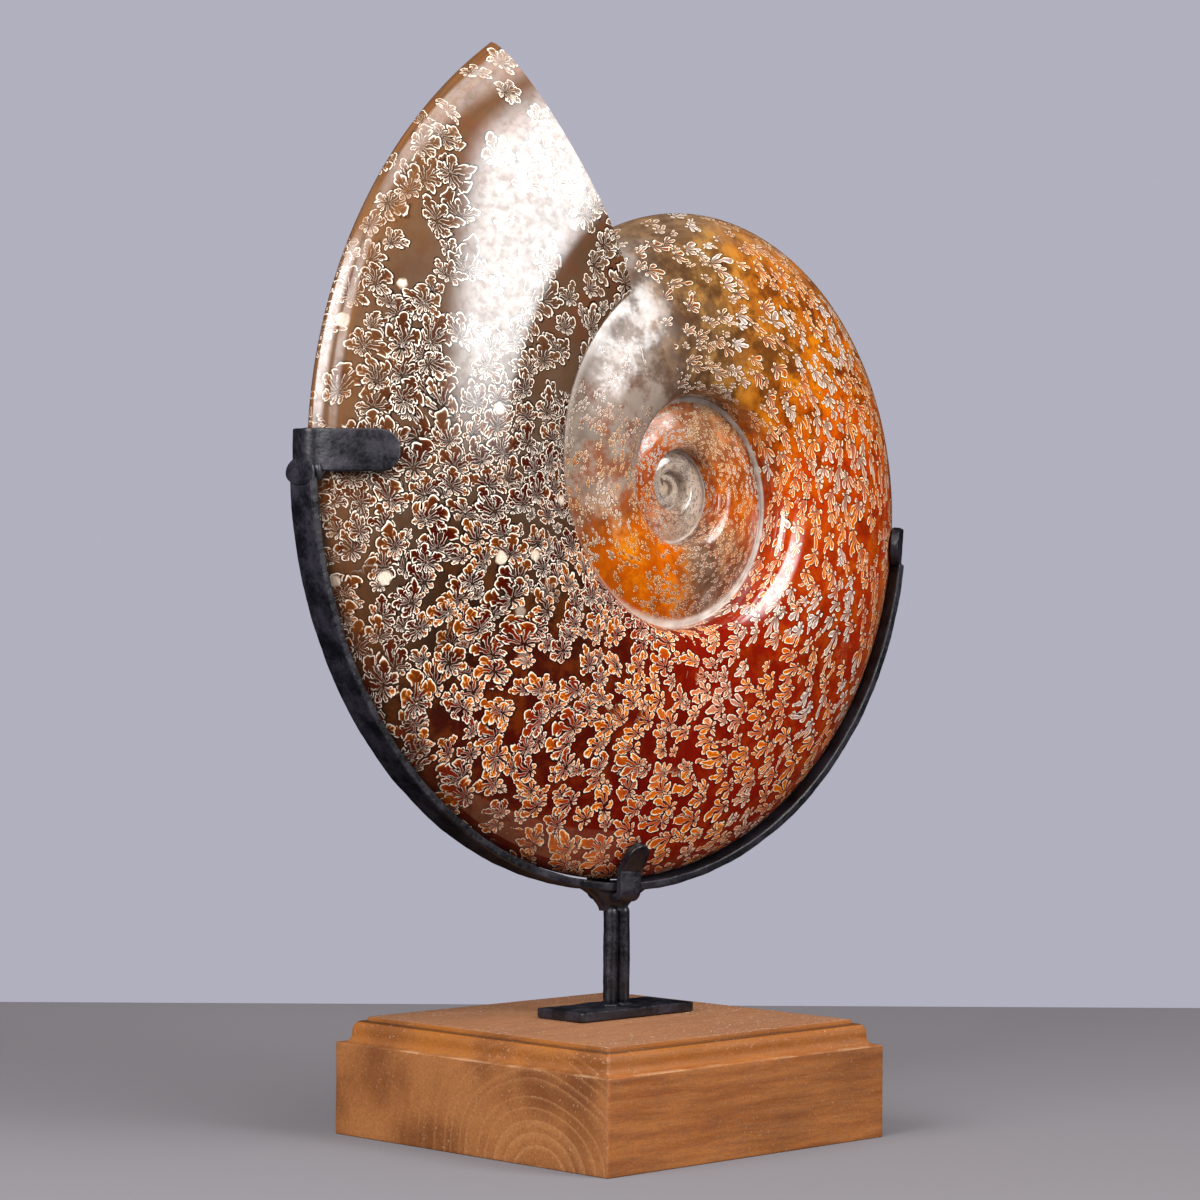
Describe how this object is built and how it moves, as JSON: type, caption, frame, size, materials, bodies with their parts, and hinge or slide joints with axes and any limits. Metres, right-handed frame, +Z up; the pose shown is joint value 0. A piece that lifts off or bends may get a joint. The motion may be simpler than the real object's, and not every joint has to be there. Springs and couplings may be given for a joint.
{
  "type": "cleoniceras ammonite on stand",
  "caption": "Polished coiled ammonite fossil held upright by its edge in a forged iron cradle on a square moulded wood plinth.",
  "frame": {"origin": "centre of the plinth's underside, on the surface it stands on", "axes": "+Z up, -Y towards the displayed flank, +X to the right seen from that side"},
  "size_m": [0.3099, 0.15, 0.4175],
  "materials": {
    "polished_fossil": "high polish",
    "blackened_iron": "satin black, hand painted",
    "stained_wood": "satin stain"
  },
  "bodies": {
    "root": {"ammonite": "polished_fossil", "cradle_band": "blackened_iron", "left_claw": "blackened_iron", "right_claw": "blackened_iron", "bottom_claw": "blackened_iron", "weld_flare": "blackened_iron", "stem_rod_left": "blackened_iron", "stem_rod_right": "blackened_iron", "foot_plate": "blackened_iron", "wood_base": "stained_wood"}
  },
  "joints": []
}
